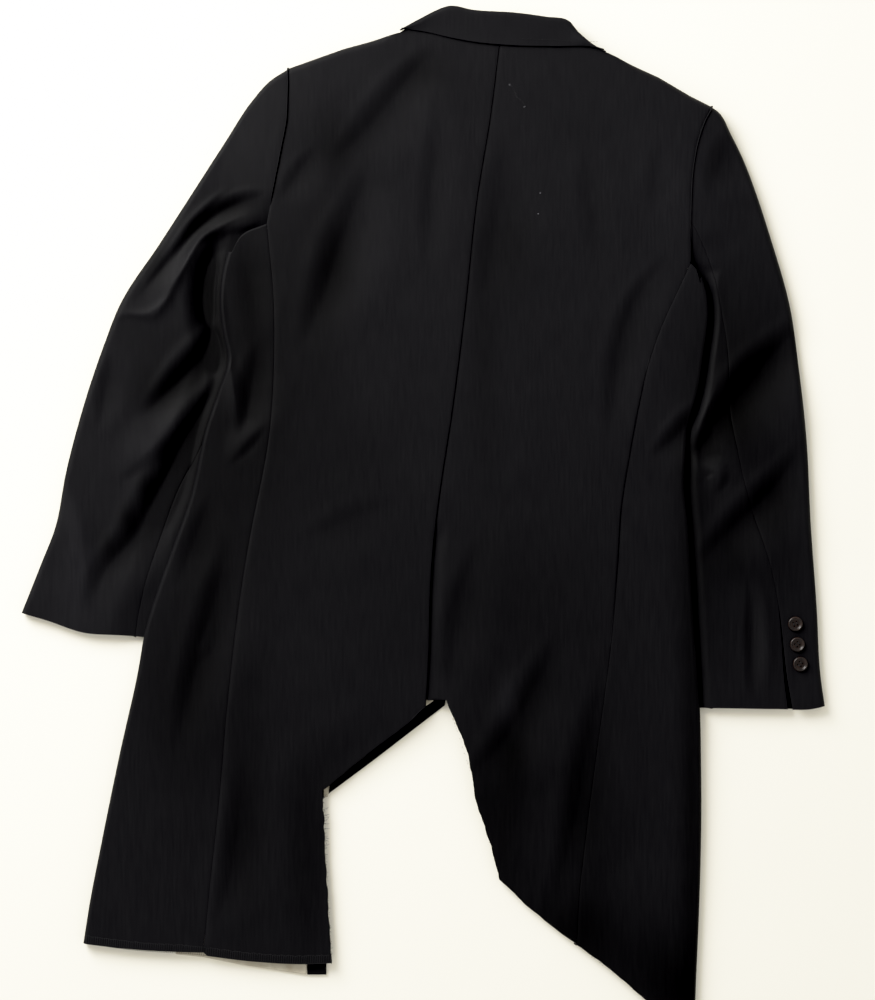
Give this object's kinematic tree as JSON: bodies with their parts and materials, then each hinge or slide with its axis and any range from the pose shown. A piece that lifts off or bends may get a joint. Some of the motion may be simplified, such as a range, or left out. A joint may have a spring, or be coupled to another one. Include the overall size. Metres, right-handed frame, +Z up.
{
  "type": "cutout blazer",
  "caption": "Long black wool blazer laid flat on its front, back up, with a fold-down collar, a vent and its lower middle cut away through every layer.",
  "frame": {"origin": "middle of the bounding box in plan, on the surface that the blazer lies on", "axes": "+Y up the garment towards the collar, +X towards its right edge as seen from above, +Z up from the surface, through the garment's back"},
  "size_m": [0.82, 1.0496, 0.02],
  "materials": {
    "wool": "black wool suiting, fine twill, soft matte with a faint sheen",
    "lining": "cream lining, smooth weave",
    "button": "dark brown-black polished button"
  },
  "bodies": {
    "root": {"back_left": "wool", "back_right": "wool", "side_left": "wool", "side_right": "wool", "front_left": "wool", "front_right": "wool", "lapel_left": "wool", "lapel_right": "wool", "sleeve_left_top": "wool", "sleeve_left_under": "wool", "sleeve_right_top": "wool", "sleeve_right_under": "wool", "collar": "wool", "lining_hem": "lining", "facing_tab": "wool", "lining_cut": "lining", "button_1": "button", "button_2": "button", "button_3": "button"}
  },
  "joints": []
}
